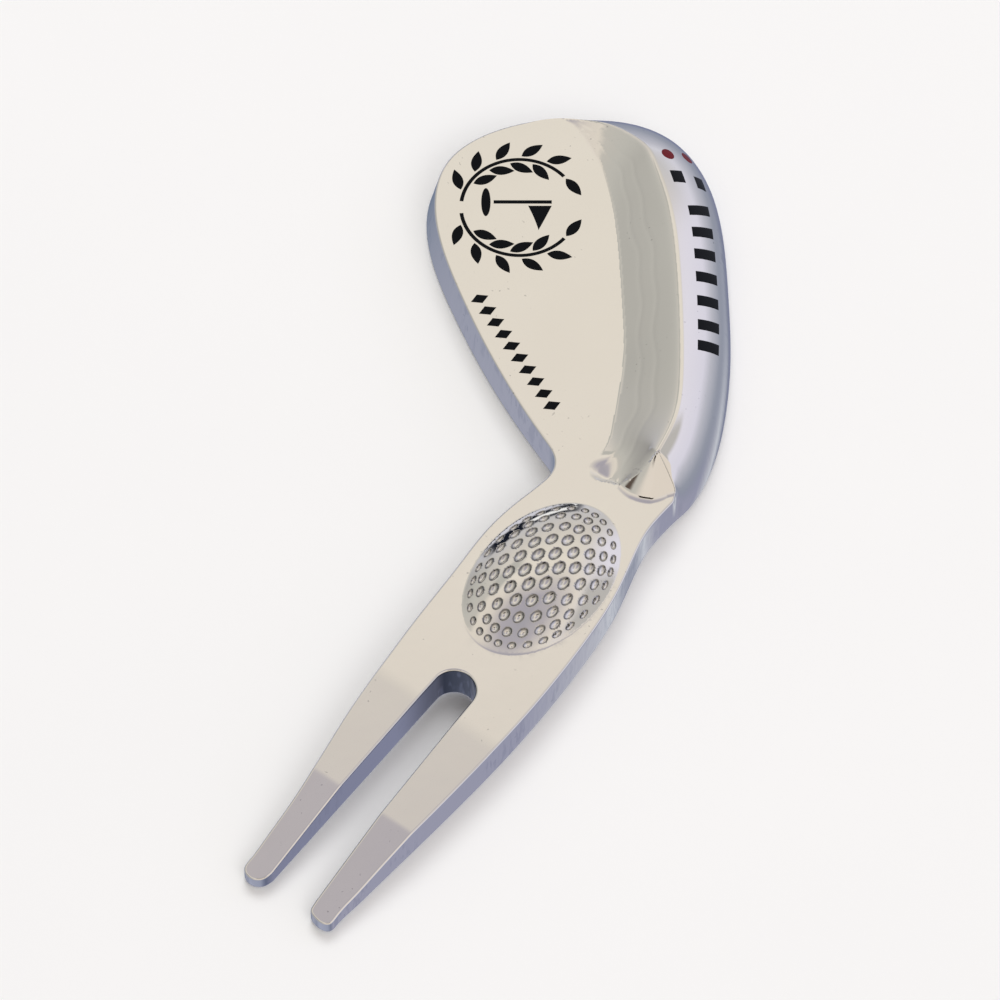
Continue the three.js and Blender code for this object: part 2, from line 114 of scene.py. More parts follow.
# Foot of the muscle's inner ramp, from the toe to the foot of the crease at the heel.
RAMP_FOOT = [
    (-33.2, 89.7), (-31.7, 89.9), (-30.2, 89.5), (-28.4, 88.7), (-26.7, 87.8), (-24.4, 86.1),
    (-21.9, 83.9), (-19.3, 81.2), (-16.4, 77.8), (-12.5, 73.0), (-10.5, 70.4), (-8.3, 66.9),
    (-6.8, 64.0), (-5.6, 61.6), (-4.85, 59.4), (-4.9, 57.6), (-4.75, 56.3), (-4.1, 55.7),
    (-2.9, 55.8), (-1.7, 56.3), (-1.0, 56.5),
]
RIPPLES = (0.44, 0.7)  # two faint casting lines along the ramp, as shares of the way down
RIPPLE_DEPTH = 0.014
RIPPLE_WIDTH = 0.04  # as a share of the way down
TOE_FLATNESS = 0.7  # how far the sole loses its roundness at the toe
FLAT_TOE_STATION = -7  # the station from which it does
# The crease between the ramp and the heel facet, from its foot up towards the corner.
HEEL_CREASE = [(-0.97, 56.55, 4.6), (-0.24, 57.24, 5.35), (0.4, 58.27, 6.1), (0.65, 59.4, 6.9)]
# Slopes of the heel facet, a cone from the corner, by the direction they fall in.
HEEL_DIRECTIONS = np.radians((-115, -92, -63, -36, -19))
HEEL_SLOPES = (0.68, 0.69, 0.74, 0.88, 0.86)
HEEL_STEEPENING = 0.012  # per mm from the corner

# The box round the heel facet where the mesh is finest.
HEEL_LOW = (-2.2, 54.9)
HEEL_HIGH = (4.6, 60.4)

PAD_CENTRE = (-0.7, 42.9)
PAD_SIZE = (6.65, 9.95)  # half width and half length
PAD_HEIGHT = 1.9
PAD_FULLNESS = 2.4
DIMPLE_RINGS = 5
DIMPLE_RING_ANGLE = math.radians(13)
DIMPLE_RADIUS = 0.088  # as a share of the pad
DIMPLE_DEPTH = 0.3

GROOVE_COUNT = 9
GROOVE_PITCH = 2.2
GROOVE_LENGTH = 24.0
GROOVE_WIDTH = 0.5
GROOVE_DEPTH = 0.28
GROOVE_CENTRE = (-17.5, 76.6)
GROOVE_ANGLE = math.atan2(-0.79, 0.61)


# ------------------------------------------------------------------ curves

def natural_spline(knots, points, at):
    """The natural cubic spline through points at the knots, evaluated at each of `at`."""
    knots, points, at = (np.asarray(v, float) for v in (knots, points, at))
    count = len(knots)
    gap = np.diff(knots)
    matrix = np.eye(count)
    right = np.zeros_like(points)
    for i in range(1, count - 1):
        matrix[i, i - 1:i + 2] = gap[i - 1], 2 * (gap[i - 1] + gap[i]), gap[i]
        right[i] = 6 * ((points[i + 1] - points[i]) / gap[i] - (points[i] - points[i - 1]) / gap[i - 1])
    bend = np.linalg.solve(matrix, right)
    k = np.clip(np.searchsorted(knots, at, side="right") - 1, 0, count - 2)
    width = gap[k][:, None]
    a = (knots[k + 1] - at)[:, None] / width
    b = 1 - a
    curved = ((a ** 3 - a) * bend[k] + (b ** 3 - b) * bend[k + 1]) * width ** 2 / 6
    return a * points[k] + b * points[k + 1] + curved


def smoothstep(low, high, value):
    t = np.clip((value - low) / (high - low), 0, 1)
    return t * t * (3 - 2 * t)


def smooth_min(a, b, reach):
    blend = np.maximum(reach - np.abs(a - b), 0) / reach
    return np.minimum(a, b) - blend * blend * reach / 4


def smooth_max(a, b, reach):
    return -smooth_min(-a, -b, reach)


def unit(vectors):
    return vectors / np.linalg.norm(vectors, axis=-1, keepdims=True)


OUTLINE_KNOTS = np.array(
    RIGHT_TIP + RIGHT_SIDE + [edge for edge, _ in SOLE] + TOPLINE_AND_TOE + LEFT_SIDE + LEFT_TIP)
OUTLINE_AT = np.concatenate([[0], np.cumsum(np.linalg.norm(np.diff(OUTLINE_KNOTS, axis=0), axis=1))])
FIRST_STATION = len(RIGHT_TIP) + len(RIGHT_SIDE)
STATION_AT = OUTLINE_AT[FIRST_STATION:FIRST_STATION + len(SOLE)]
CREST_KNOTS = np.array([crest for _, crest in SOLE])


def outline(at):
    return natural_spline(OUTLINE_AT, OUTLINE_KNOTS, at)


def crest(at):
    """The crest, in three pieces that meet at the corner of the heel facet."""
    at = np.asarray(at, float)
    corner = STATION_AT[HEEL_CORNER]
    heel = natural_spline(STATION_AT[:HEEL_CORNER + 1], CREST_KNOTS[:HEEL_CORNER + 1], at)
    long_run = natural_spline(STATION_AT[HEEL_CORNER:], CREST_KNOTS[HEEL_CORNER:], at)
    return np.where((at < corner)[:, None], heel, long_run)


def draft(x):
    return HEAD_DRAFT * np.clip((DRAFT_START_X - x) / DRAFT_LENGTH, 0, 1)


# ------------------------------------------------------------------ the top, as heights

def inside_loop(points, loop):
    x, y = points[:, 0, None], points[:, 1, None]
    ax, ay = loop[:, 0], loop[:, 1]
    bx, by = np.roll(ax, -1), np.roll(ay, -1)
    crosses = (ay > y) != (by > y)
    with np.errstate(divide="ignore", invalid="ignore"):
        hit = x < (bx - ax) * (y - ay) / (by - ay) + ax
    return (crosses & hit).sum(axis=1) % 2 == 1


def land(y):
    """The flat top, with the two slopes of the tines."""
    (y0, z0), (y1, z1), (y2, z2) = TAPER
    tip = z0 + (z1 - z0) * (y - y0) / (y1 - y0)
    middle = z1 + (z2 - z1) * (y - y1) / (y2 - y1)
    return smooth_min(smooth_min(tip, middle, 0.05), np.full_like(y, PLATE), 0.03)


def dimple_places():
    """Centre, outward direction and ring of each dimple, in shares of the pad."""
    places = [(0.0, 0.0, 0)]
    for ring in range(1, DIMPLE_RINGS + 1):
        for side in range(6):
            for step in range(ring):
                start, end = side * math.pi / 3, (side + 1) * math.pi / 3
                mix = step / ring
                x = ring * ((1 - mix) * math.sin(start) + mix * math.sin(end))
                y = ring * ((1 - mix) * math.cos(start) + mix * math.cos(end))
                reach = math.hypot(x, y)
                reach += (ring - reach) * ring / DIMPLE_RINGS
                radius = math.sin(DIMPLE_RING_ANGLE * reach)
                turn = math.atan2(x, y)
                places.append((radius * math.sin(turn), radius * math.cos(turn), ring))
    return np.array(places)


DIMPLES = dimple_places()


def dimple_axes():
    """Outward direction of each dimple, and its half sizes outward and round the pad."""
    turn = np.arctan2(DIMPLES[:, 0], DIMPLES[:, 1])
    outward = np.column_stack([np.sin(turn), np.cos(turn)])
    share = (DIMPLES[:, 2] / DIMPLE_RINGS) ** 2
    round_size = DIMPLE_RADIUS * (1 - 0.3 * share)
    return outward, round_size * (1 - 0.4 * share), round_size


DIMPLE_OUT, DIMPLE_SHORT, DIMPLE_LONG = dimple_axes()


def pad(x, y):
    """Height of the thumb pad over the land, with its dimples."""
    u = (x - PAD_CENTRE[0]) / PAD_SIZE[0]
    v = (y - PAD_CENTRE[1]) / PAD_SIZE[1]
    share = np.hypot(u, v)
    height = PAD_HEIGHT * (1 - np.minimum(share, 1.6) ** PAD_FULLNESS)
    near = np.flatnonzero(share < 1)
    if len(near):
        du = u[near, None] - DIMPLES[None, :, 0]
        dv = v[near, None] - DIMPLES[None, :, 1]
        out = (du * DIMPLE_OUT[:, 0] + dv * DIMPLE_OUT[:, 1]) / DIMPLE_SHORT
        around = (du * DIMPLE_OUT[:, 1] - dv * DIMPLE_OUT[:, 0]) / DIMPLE_LONG
        inside = np.clip(1 - out ** 2 - around ** 2, 0, 1)
        height[near] -= DIMPLE_DEPTH * inside.sum(axis=1)
    return height


def nearest_on(points, path):
    """Distance from each 2D point to a path of (x, y, z), the height there, and how far along."""
    start, step = path[:-1, :2], np.diff(path[:, :2], axis=0)
    length2 = (step ** 2).sum(axis=1)
    best = np.full(len(points), 1e9)
    height = np.zeros(len(points))
    along = np.zeros(len(points))
    for low in range(0, len(points), 1000):
        part = slice(low, low + 1000)
        gap = points[part, None, :] - start[None]
        t = np.clip((gap * step[None]).sum(axis=2) / length2, 0, 1)
        off = gap - t[..., None] * step[None]
        distance = np.hypot(off[..., 0], off[..., 1])
        k = distance.argmin(axis=1)
        rows = np.arange(len(k))
        best[part] = distance[rows, k]
        height[part] = path[k, 2] + t[rows, k] * (path[k + 1, 2] - path[k, 2])
        along[part] = k + t[rows, k]
    return best, height, along


def crest_path():
    """The crease of the heel facet and then the long run of the crest from heel to toe."""
    at = np.linspace(STATION_AT[HEEL_CORNER], STATION_AT[-1], 900)
    run = crest(at)
    run[0] = CREST_KNOTS[HEEL_CORNER]
    knots = np.array([*HEEL_CREASE, run[0]])
    crease = natural_spline(knots[:, 1], knots, np.linspace(knots[0, 1], knots[-1, 1], 60))
    beyond = crease[0] - (crease[4] - crease[0]) * np.linspace(6, 1, 4)[:, None]
    return np.vstack([beyond, crease[:-1], run])


CREST_PATH = crest_path()
CREASE_POINTS = 64  # how many of its first points lie along the crease


def foot_path():
    knots = np.array(RAMP_FOOT)
    at = np.concatenate([[0], np.cumsum(np.linalg.norm(np.diff(knots, axis=0), axis=1))])
    return natural_spline(at, knots, np.linspace(0, at[-1], 260))


FOOT_PATH = foot_path()
# Everything on the crest's side of the ramp's foot, closed well outside the tool.
RAMP_SIDE = np.vstack([FOOT_PATH, [(10, 50), (12, 100), (-36, 100), (-36, 94)]])


def softly_on(points, path):
    """As nearest_on, but away from the path every part of it counts by its nearness."""
    sharp = np.column_stack(nearest_on(points, path))
    stride = 3
    corners = path[::stride]
    middle = (corners[1:] + corners[:-1]) / 2
    length = np.linalg.norm(np.diff(corners[:, :2], axis=0), axis=1)
    order = (np.arange(len(middle)) + 0.5) * stride
    soft = np.zeros_like(sharp)
    for low in range(0, len(points), 1000):
        part = slice(low, low + 1000)
        gap = points[part, None, :] - middle[None, :, :2]
        weight = length / ((gap ** 2).sum(axis=2) + 1e-6) ** 2
        total = weight.sum(axis=1)
        # A straight line at distance d has a total weight of pi / (2 d^3).
        soft[part, 0] = (math.pi / 2 / total) ** (1 / 3)
        soft[part, 1] = weight @ middle[:, 2] / total
        soft[part, 2] = weight @ order / total
    return sharp + (soft - sharp) * smoothstep(0.2, 1.2, sharp[:, :1])


def ramp(points):
    """The muscle's inner side: it spans from the crest down to its foot."""
    distance, crest_height, along = softly_on(points, CREST_PATH).T
    rest = softly_on(points, np.column_stack([FOOT_PATH, np.zeros(len(FOOT_PATH))]))[:, 0]
    share = distance / (distance + rest + 1e-9)
    wave = 0.035 * np.sin(along * 0.026) + 0.025 * np.sin(along * 0.06 + 1.7)
    fallen = (np.sqrt(share ** 2 + RAMP_EASE ** 2) - RAMP_EASE) / (math.hypot(1, RAMP_EASE) - RAMP_EASE)
    height = crest_height - (crest_height - PLATE) * fallen
    for middle in RIPPLES:
        line = np.exp(-((share - middle - wave) / RIPPLE_WIDTH) ** 2)
        height -= RIPPLE_DEPTH * line * np.clip(distance / 2, 0, 1)
    return np.where(inside_loop(points, RAMP_SIDE), height, PLATE)


def heel_facet(points):
    """A cone that falls from the corner of the crest to the heel, ever steeper."""
    corner = CREST_KNOTS[HEEL_CORNER]
    gap = points - corner[:2]
    slope = np.interp(np.arctan2(gap[:, 1], gap[:, 0]), HEEL_DIRECTIONS, HEEL_SLOPES)
    distance = np.linalg.norm(gap, axis=1)
    return corner[2] - slope * distance - HEEL_STEEPENING * distance ** 2


def past_crease(points):
    """True on the heel facet's side of its crease."""
    x, y = points.T
    crease = np.array([*HEEL_CREASE, CREST_KNOTS[HEEL_CORNER]])
    return (x > np.interp(y, crease[:, 1], crease[:, 0])) & (y < crease[-1, 1])


def top(points):
    """Height of the top at each (x, y), everywhere inside the crest and the top's rim."""
    x, y = points.T
    height = land(y)
    height = np.where(
        np.hypot(x - PAD_CENTRE[0], y - PAD_CENTRE[1]) < 11,
        smooth_max(height, PLATE + pad(x, y), 0.06), height)
    head = np.flatnonzero(y > 53)
    if len(head):
        facet = smooth_max(height[head], heel_facet(points[head]), 0.3)
        height[head] = np.where(past_crease(points[head]), facet, ramp(points[head]))
    return height


def top_normals(points):
    reach = 0.01
    dx = top(points + (reach, 0)) - top(points - (reach, 0))
    dy = top(points + (0, reach)) - top(points - (0, reach))
    return unit(np.column_stack([-dx, -dy, np.full(len(dx), 2 * reach)]))


# ------------------------------------------------------------------ the rim and the sole

PROFILE = 18  # points down the rim
FOOT_STEPS = 5


def sole_share(tilt, width):
    """How far from the crest to the edge the sole reaches the given slope, and its height there."""
    start = np.minimum(CREST_ROUND * math.sin(SOLE_START) / width, 0.3)
    rounded = start * np.sin(np.minimum(tilt, SOLE_START)) / math.sin(SOLE_START)
    swept = (np.sin(np.maximum(tilt, SOLE_START)) - math.sin(SOLE_START)) / (1 - math.sin(SOLE_START))
    return rounded + (1 - start) * swept, start


def toe_flatness(at):
    return TOE_FLATNESS * smoothstep(STATION_AT[FLAT_TOE_STATION], STATION_AT[-1], at)


def sole_height(tilt, width, crest_z, flatness):
    """Height of the sole at a slope: round, or falling straight where it is flat."""
    share, start = sole_share(tilt, width)
    sag = start * width * math.tan(SOLE_START / 2)
    rounded = sag * (1 - np.cos(np.minimum(tilt, SOLE_START))) / (1 - math.cos(SOLE_START))
    swept = np.cos(np.maximum(tilt, SOLE_START)) / math.cos(SOLE_START)
    full = np.where(tilt < SOLE_START, crest_z - rounded, (crest_z - sag) * swept)
    straight = (crest_z - rounded) * (1 - share)
    return full + (straight - full) * flatness


def rim_loops():
    """The loops of the rim from the top's join down to the flat face, each closed round the tool."""
    count = int(OUTLINE_AT[-1] / STEP)
    at = np.linspace(0, OUTLINE_AT[-1], count)
    run = outline(at)
    slot_wall = np.linspace(RIGHT_TIP[0][1], SLOT_CENTRE_Y, int(SLOT_CENTRE_Y / STEP))[1:-1]
    wall_x = np.interp(slot_wall, [0, SLOT_CENTRE_Y], [SLOT_MOUTH_HALF_WIDTH, SLOT_HALF_WIDTH])
    turn = np.linspace(math.pi, 0, 36)
    slot_end = np.column_stack([np.cos(turn), np.sin(turn)]) * SLOT_HALF_WIDTH + (0, SLOT_CENTRE_Y)
    slot = np.vstack([
        np.column_stack([-wall_x, slot_wall]), slot_end,
        np.column_stack([wall_x, slot_wall])[::-1]])
    edge = np.vstack([run, slot])
    along = unit(np.roll(edge, -1, axis=0) - np.roll(edge, 1, axis=0))
    inward = np.column_stack([-along[:, 1], along[:, 0]])
    lean = draft(edge[:, 0])

    join = np.column_stack([edge + inward * (TOP_ROUND + lean)[:, None], np.zeros(len(edge))])
    join[:, 2] = land(join[:, 1])
    first, last = STATION_AT[0], STATION_AT[-1]
    sole = np.zeros(len(edge))
    flatness = np.zeros(len(edge))
    flatness[:count] = toe_flatness(at)
    sole[:count] = smoothstep(first, first + 1.6, at) * (1 - smoothstep(last - 8.0, last, at))
    inside = np.flatnonzero(sole > 0)
    join[inside] += (crest(at[inside]) - join[inside]) * np.minimum(sole[inside] * 4, 1)[:, None]

    out = edge - join[:, :2]
    width = np.linalg.norm(out, axis=1)
    loops = []
    for j in range(PROFILE):
        share = j / (PROFILE - 1)
        turn = math.pi / 2 * min(share / 0.55, 1)
        plate_out = TOP_ROUND * math.sin(turn) / width
        plate_z = join[:, 2] - TOP_ROUND * (1 - math.cos(turn))
        down = max(share - 0.55, 0) / 0.45
        plate_out += (1 - plate_out) * down
        plate_z += (FOOT_ROUND - plate_z) * down
        tilt = SOLE_END * share ** 0.9
        sole_out, _ = sole_share(tilt, width)
        sole_z = sole_height(tilt, width, join[:, 2], flatness)
        if j == PROFILE - 1:
            sole_out, sole_z = np.ones(len(edge)), np.full(len(edge), FOOT_ROUND)
        outwards = plate_out + (sole_out - plate_out) * sole
        z = plate_z + (np.maximum(sole_z, FOOT_ROUND) - plate_z) * sole
        loops.append(np.column_stack([join[:, :2] + out * outwards[:, None], z]))
    for j in range(1, FOOT_STEPS + 1):
        turn = math.pi / 2 * j / FOOT_STEPS
        inset = FOOT_ROUND * (1 - math.cos(turn))
        z = np.full(len(edge), FOOT_ROUND * (1 - math.sin(turn)))
        loops.append(np.column_stack([edge + inward * inset, z]))
    return np.array(loops)


# ------------------------------------------------------------------ meshes

def clear_of(points, line, gap, closed=True):
    """True for the points further than a gap from a line, which may be a closed loop."""
    line = np.vstack([line, line[:1]]) if closed else line
    return nearest_on(points, np.column_stack([line, np.zeros(len(line))]))[0] > gap


def honeycomb(low, high, step):
    rows = np.arange(low[1], high[1], step * math.sqrt(3) / 2)
    columns = np.arange(low[0], high[0], step)
    x = columns[None, :] + np.where(np.arange(len(rows)) % 2, step / 2, 0)[:, None]
    return np.column_stack([x.ravel(), np.repeat(rows, len(columns))])


def fill(loops, points):
    """Triangles over points inside the first loop and outside the others, loops' points first."""
    everything = np.vstack([*loops, points])
    edges, start = [], 0
    for loop in loops:
        ring = start + np.arange(len(loop))
        edges += list(zip(ring.tolist(), np.roll(ring, -1).tolist()))
        start += len(loop)
    coords = [Vector(p) for p in everything]
    verts, _, faces, origins, _, _ = delaunay_2d_cdt(coords, edges, [], 0, 1e-7)
    source = np.array([o[0] for o in origins])
    triangles = source[np.array([list(f) for f in faces])]
    middle = everything[triangles].mean(axis=1)
    keep = inside_loop(middle, loops[0])
    for hole in loops[1:]:
        keep &= ~inside_loop(middle, hole)
    triangles = triangles[keep]
    a, b, c = (everything[triangles[:, k]] for k in range(3))
    turned = (b - a)[:, 0] * (c - a)[:, 1] - (b - a)[:, 1] * (c - a)[:, 0] < 0
    triangles[turned] = triangles[turned][:, ::-1]
    return everything, triangles


def dimple_points():
    """Rings of points round every dimple, so that its lip and bowl come out round."""
    points = []
    turns = np.arange(16) * math.pi / 8
    for (u, v, _), out, short, long in zip(DIMPLES, DIMPLE_OUT, DIMPLE_SHORT, DIMPLE_LONG):
        around = np.array([out[1], -out[0]])
        centre = np.array([u, v])
        points.append(centre[None])
        for share in (0.35, 0.65, 0.85, 0.96, 1.1):
            ring = np.outer(np.cos(turns) * short * share, out)
            ring = ring + np.outer(np.sin(turns) * long * share, around)
            points.append(centre + ring)
    return np.vstack(points)


def top_points(join):
    """Points inside the top's join loop, denser where the top is curved."""
    low, high = join.min(axis=0), join.max(axis=0)
    coarse = honeycomb(low, high, 0.6)
    fine = honeycomb((low[0], 54.0), high, 0.23)
    reach, _, _ = nearest_on(fine, CREST_PATH)
    fine = fine[reach < 8.8]
    reach, _, _ = nearest_on(coarse, CREST_PATH)
    coarse = coarse[(reach >= 9.0) & (np.linalg.norm((coarse - PAD_CENTRE) / PAD_SIZE, axis=1) > 1.06)]
    shares = honeycomb((-1.05, -1.05), (1.05, 1.05), 0.035)
    out = ((shares[:, None] - DIMPLES[None, :, :2]) * DIMPLE_OUT).sum(axis=2) / DIMPLE_SHORT
    turned = np.column_stack([DIMPLE_OUT[:, 1], -DIMPLE_OUT[:, 0]])
    around = ((shares[:, None] - DIMPLES[None, :, :2]) * turned).sum(axis=2) / DIMPLE_LONG
    free = (np.hypot(out, around).min(axis=1) > 1.22) & (np.hypot(*shares.T) < 1.03)
    turns = np.arange(150) * math.tau / 150
    rim = np.column_stack([np.cos(turns), np.sin(turns)])
    bowl = np.vstack([shares[free], dimple_points(), rim * 0.99, rim * 1.012])
    heel = honeycomb(HEEL_LOW, HEEL_HIGH, 0.15)
    crease = CREST_PATH[:CREASE_POINTS, :2]
    fine = np.vstack([fine[(fine[:, 0] < HEEL_LOW[0]) | (fine[:, 1] > HEEL_HIGH[1])], heel])
    fine = fine[clear_of(fine, FOOT_PATH, 0.13, False) & clear_of(fine, crease, 0.07, False)]
    across = np.arange(-8.5, 8.5, 0.4)
    creases = [
        np.column_stack([across, np.full(len(across), y + side)])
        for y, _ in TAPER[1:] for side in (-0.2, 0.2)]
    points = np.vstack([coarse, fine, FOOT_PATH, crease, bowl * PAD_SIZE + PAD_CENTRE, *creases])
    points = points[inside_loop(points, join)]
    return points[clear_of(points, join, 0.12)]


def grid_normals(loops):
    """Normals of a grid of loops that are closed along their second axis."""
    along = np.roll(loops, -1, axis=1) - np.roll(loops, 1, axis=1)
    down = np.gradient(loops, axis=0)
    return unit(np.cross(down, along))


LOOPS = rim_loops()
LOW = LOOPS.reshape(-1, 3).min(axis=0)
HIGH = LOOPS.reshape(-1, 3).max(axis=0)
SHRINK = min(1, *((CAD_HIGH - CAD_LOW)[k] / MM / (HIGH - LOW)[k] for k in (0, 1)))


def place(points):
    """Points in millimetres on the tool's own axes, in the frame and in metres."""
    middle = (LOW + HIGH) / 2
    target = np.array((CAD_LOW + CAD_HIGH) / 2)
    moved = (points - middle) * (SHRINK * MM * 0.9999) + target
    moved[:, 2] = points[:, 2] * MM * 0.9999
    return moved


def dimple_lip_shade(points):
    """1 on the steep lips of the dimples and 0 elsewhere: where a dark reflection is painted into the
    plating.
    """
    shares = (points - PAD_CENTRE) / PAD_SIZE
    lip_shade = np.zeros(len(points))
    near = np.flatnonzero(np.linalg.norm(shares, axis=1) < 1.05)
    gap = shares[near, None] - DIMPLES[None, :, :2]
    turned = np.column_stack([DIMPLE_OUT[:, 1], -DIMPLE_OUT[:, 0]])
    out = (gap * DIMPLE_OUT).sum(axis=2) / DIMPLE_SHORT
    around = (gap * turned).sum(axis=2) / DIMPLE_LONG
    reach = np.hypot(out, around).min(axis=1)
    lip_shade[near] = smoothstep(0.5, 0.85, reach) * (1 - smoothstep(0.97, 1.12, reach))
    return lip_shade


def new_piece(name, points, faces, normals, material):
    mesh = bpy.data.meshes.new(name)
    mesh.from_pydata(place(points).tolist(), [], faces)
    mesh.shade_smooth()
    if normals is not None:
        mesh.normals_split_custom_set_from_vertices(normals.tolist())
    mesh.materials.append(material)
    piece = bpy.data.objects.new(name, mesh)
    bpy.context.scene.collection.objects.link(piece)
    return piece


def groove_frames():
    """Along and across directions of the score lines, and the middle of each."""
    along = np.array([math.cos(GROOVE_ANGLE), math.sin(GROOVE_ANGLE)])
    across = np.array([-along[1], along[0]])
    offsets = (np.arange(GROOVE_COUNT) - (GROOVE_COUNT - 1) / 2) * GROOVE_PITCH
    return along, across, [np.array(GROOVE_CENTRE) + across * offset for offset in offsets]


def groove_ring(centre, along, across, half_width):
    """A loop with round ends about a score line."""
    turns = np.linspace(-math.pi / 2, math.pi / 2, 9)
    cap = np.column_stack([np.cos(turns), np.sin(turns)]) * half_width
    half = (GROOVE_LENGTH - GROOVE_WIDTH) / 2
    loop = np.vstack([cap + (half, 0), -cap - (half, 0)])
    return centre + loop[:, :1] * along + loop[:, 1:] * across


def grooves():
    """The score lines as troughs: their loops at the flat face, and points, faces and normals."""
    along, across, centres = groove_frames()
    rims, points, faces, normals = [], [], [], []
    for centre in centres:
        rims.append(groove_ring(centre, along, across, GROOVE_WIDTH / 2))
        for k, turn in enumerate(np.radians((5, 25, 45, 65, 85))):
            half_width = GROOVE_WIDTH / 2 * math.cos(turn)
            ring = groove_ring(centre, along, across, max(half_width, 0.03))
            if k == 0:
                ring = rims[-1]
            start = sum(len(p) for p in points)
            height = GROOVE_DEPTH * math.sin(turn) * (k > 0)
            points.append(np.column_stack([ring, np.full(len(ring), height)]))
            outward = unit(ring - groove_ring(centre, along, across, 0.001))
            fall = np.full(len(ring), -math.sin(turn))
            normals.append(np.column_stack([-outward * math.cos(turn), fall]))
            count = len(ring)
            if k:
                for i in range(count):
                    j = (i + 1) % count
                    faces.append((start + i, start + j, start - count + j, start - count + i))
        faces.append(tuple(range(start + count - 1, start - 1, -1)))
    return rims, np.vstack(points), faces, np.vstack(normals)


def casting(material):
    """The whole casting as one skin: top, rim, flat face and the troughs of the score lines."""
    rows, count = LOOPS.shape[:2]
    rim_faces = []
    for j in range(rows - 1):
        for i in range(count):
            k = (i + 1) % count
            rim_faces.append((j * count + i, (j + 1) * count + i, (j + 1) * count + k, j * count + k))
    normals = grid_normals(LOOPS)
    normals[-1] = (0, 0, -1)
    points = [LOOPS.reshape(-1, 3)]

    join = LOOPS[0, :, :2]
    flat, triangles = fill([join], top_points(join))
    inner = flat[count:]
    points.append(np.column_stack([inner, top(inner)]))
    shift = rows * count - count
    top_faces = np.where(triangles >= count, triangles + shift, triangles)
    normals[0] = top_normals(join)
    all_normals = [normals.reshape(-1, 3), top_normals(inner)]

    foot = LOOPS[-1, :, :2]
    rims, trough_points, trough_faces, trough_normals = grooves()
    flat, triangles = fill([foot, *rims], np.zeros((0, 2)))
    start = sum(len(p) for p in points)
    points.append(np.column_stack([flat, np.zeros(len(flat))]))
    all_normals.append(np.tile((0.0, 0.0, -1.0), (len(flat), 1)))
    foot_faces = triangles[:, ::-1] + start
    start += len(flat)
    points.append(trough_points)
    all_normals.append(trough_normals)
    trough_faces = [tuple(start + i for i in face) for face in trough_faces]

    faces = rim_faces + top_faces.tolist() + foot_faces.tolist() + trough_faces
    points = np.vstack(points)
    piece = new_piece("casting", points, faces, np.vstack(all_normals), material)
    # Painted dark reflection on the dimples' steep lips, handed to the material as a point attribute.
    lip_shade = piece.data.attributes.new("dimple_lip_shade", "FLOAT", "POINT")
    lip_shade.data.foreach_set("value", dimple_lip_shade(points[:, :2]) * (points[:, 2] > PLATE - 0.2))
    return piece


# ------------------------------------------------------------------ the enamel marks

PROUD = 0.012  # the enamel stands this far over the metal
DEEP = 0.33
SHOULDER = 0.05  # width of the enamel's rounded edge


def flat_surface(x, y, turn):
    """A patch of the flat of the head: local (a, b) to points and normals."""
    cos, sin = math.cos(turn), math.sin(turn)

    def at(local):
        moved = np.column_stack([
            x + local[:, 0] * cos - local[:, 1] * sin, y + local[:, 0] * sin + local[:, 1] * cos,
            np.full(len(local), PLATE)])
        return moved, np.tile((0.0, 0.0, 1.0), (len(local), 1))
    return at


def sole_point(at, tilt):
    """Points of the sole at outline parameters and slopes."""
    edge, ridge = outline(at), crest(at)
    out = edge - ridge[:, :2]
    width = np.linalg.norm(out, axis=1)
    share, _ = sole_share(tilt, width)
    z = sole_height(tilt, width, ridge[:, 2], toe_flatness(at))
    return np.column_stack([ridge[:, :2] + out * share[:, None], z])


def sole_surface(at, tilt):
    """A patch of the sole: a runs towards the heel and b down to the leading edge."""
    reach = 0.02
    middle = np.array([at, at + reach, at])
    slopes = np.array([tilt, tilt, tilt + reach])
    here, beside, below = sole_point(middle, slopes)
    speed = np.linalg.norm(beside - here) / reach
    spread = np.linalg.norm(below - here) / reach

    def on(local):
        return sole_point(at - local[:, 0] / speed, tilt + local[:, 1] / spread)

    def patch(local):
        da = on(local + (reach, 0)) - on(local - (reach, 0))
        db = on(local + (0, reach)) - on(local - (0, reach))
        return on(local), unit(np.cross(da, db))
    return patch


def inset(loop, distance):
    along = unit(np.roll(loop, -1, axis=0) - np.roll(loop, 1, axis=0))
    return loop + np.column_stack([-along[:, 1], along[:, 0]]) * distance


def subdivided(loop):
    """The loop with its long edges split, so that the enamel follows a curved surface."""
    points = []
    for here, there in zip(np.asarray(loop, float), np.roll(loop, -1, axis=0)):
        steps = math.ceil(np.linalg.norm(there - here) / 0.3)
        points += [here + (there - here) * k / steps for k in range(steps)]
    return np.array(points)


def poured(name, loop, surface, material):
    """Enamel in the shape of a loop: sunk walls, a rounded shoulder and a gently crowned face."""
    loop = subdivided(loop)
    area = (loop[:, 0] * np.roll(loop[:, 1], -1) - np.roll(loop[:, 0], -1) * loop[:, 1]).sum()
    if area < 0:
        loop = loop[::-1]
    count = len(loop)
    steps = [(0, -DEEP), (0, -0.01), (SHOULDER * 0.35, PROUD * 0.7), (SHOULDER, PROUD)]
    rings, faces = [], []
    for inwards, height in steps:
        where, normal = surface(inset(loop, inwards))
        rings.append(where + normal * height)
    for j in range(len(steps) - 1):
        for i in range(count):
            k = (i + 1) % count
            faces.append((j * count + i, j * count + k, (j + 1) * count + k, (j + 1) * count + i))
    rim = inset(loop, SHOULDER)
    grid = honeycomb(rim.min(axis=0), rim.max(axis=0), 0.35)
    grid = grid[inside_loop(grid, rim)]
    grid = grid[clear_of(grid, rim, 0.12)] if len(grid) else grid
    flat, triangles = fill([rim], grid)
    where, normal = surface(flat)
    start = (len(steps) - 1) * count
    face_points = where + normal * PROUD
    points = np.vstack([*rings, face_points[count:]])
    faces += (triangles + start).tolist()
    faces.append(tuple(range(count - 1, -1, -1)))
    return new_piece(name, points, faces, None, material)


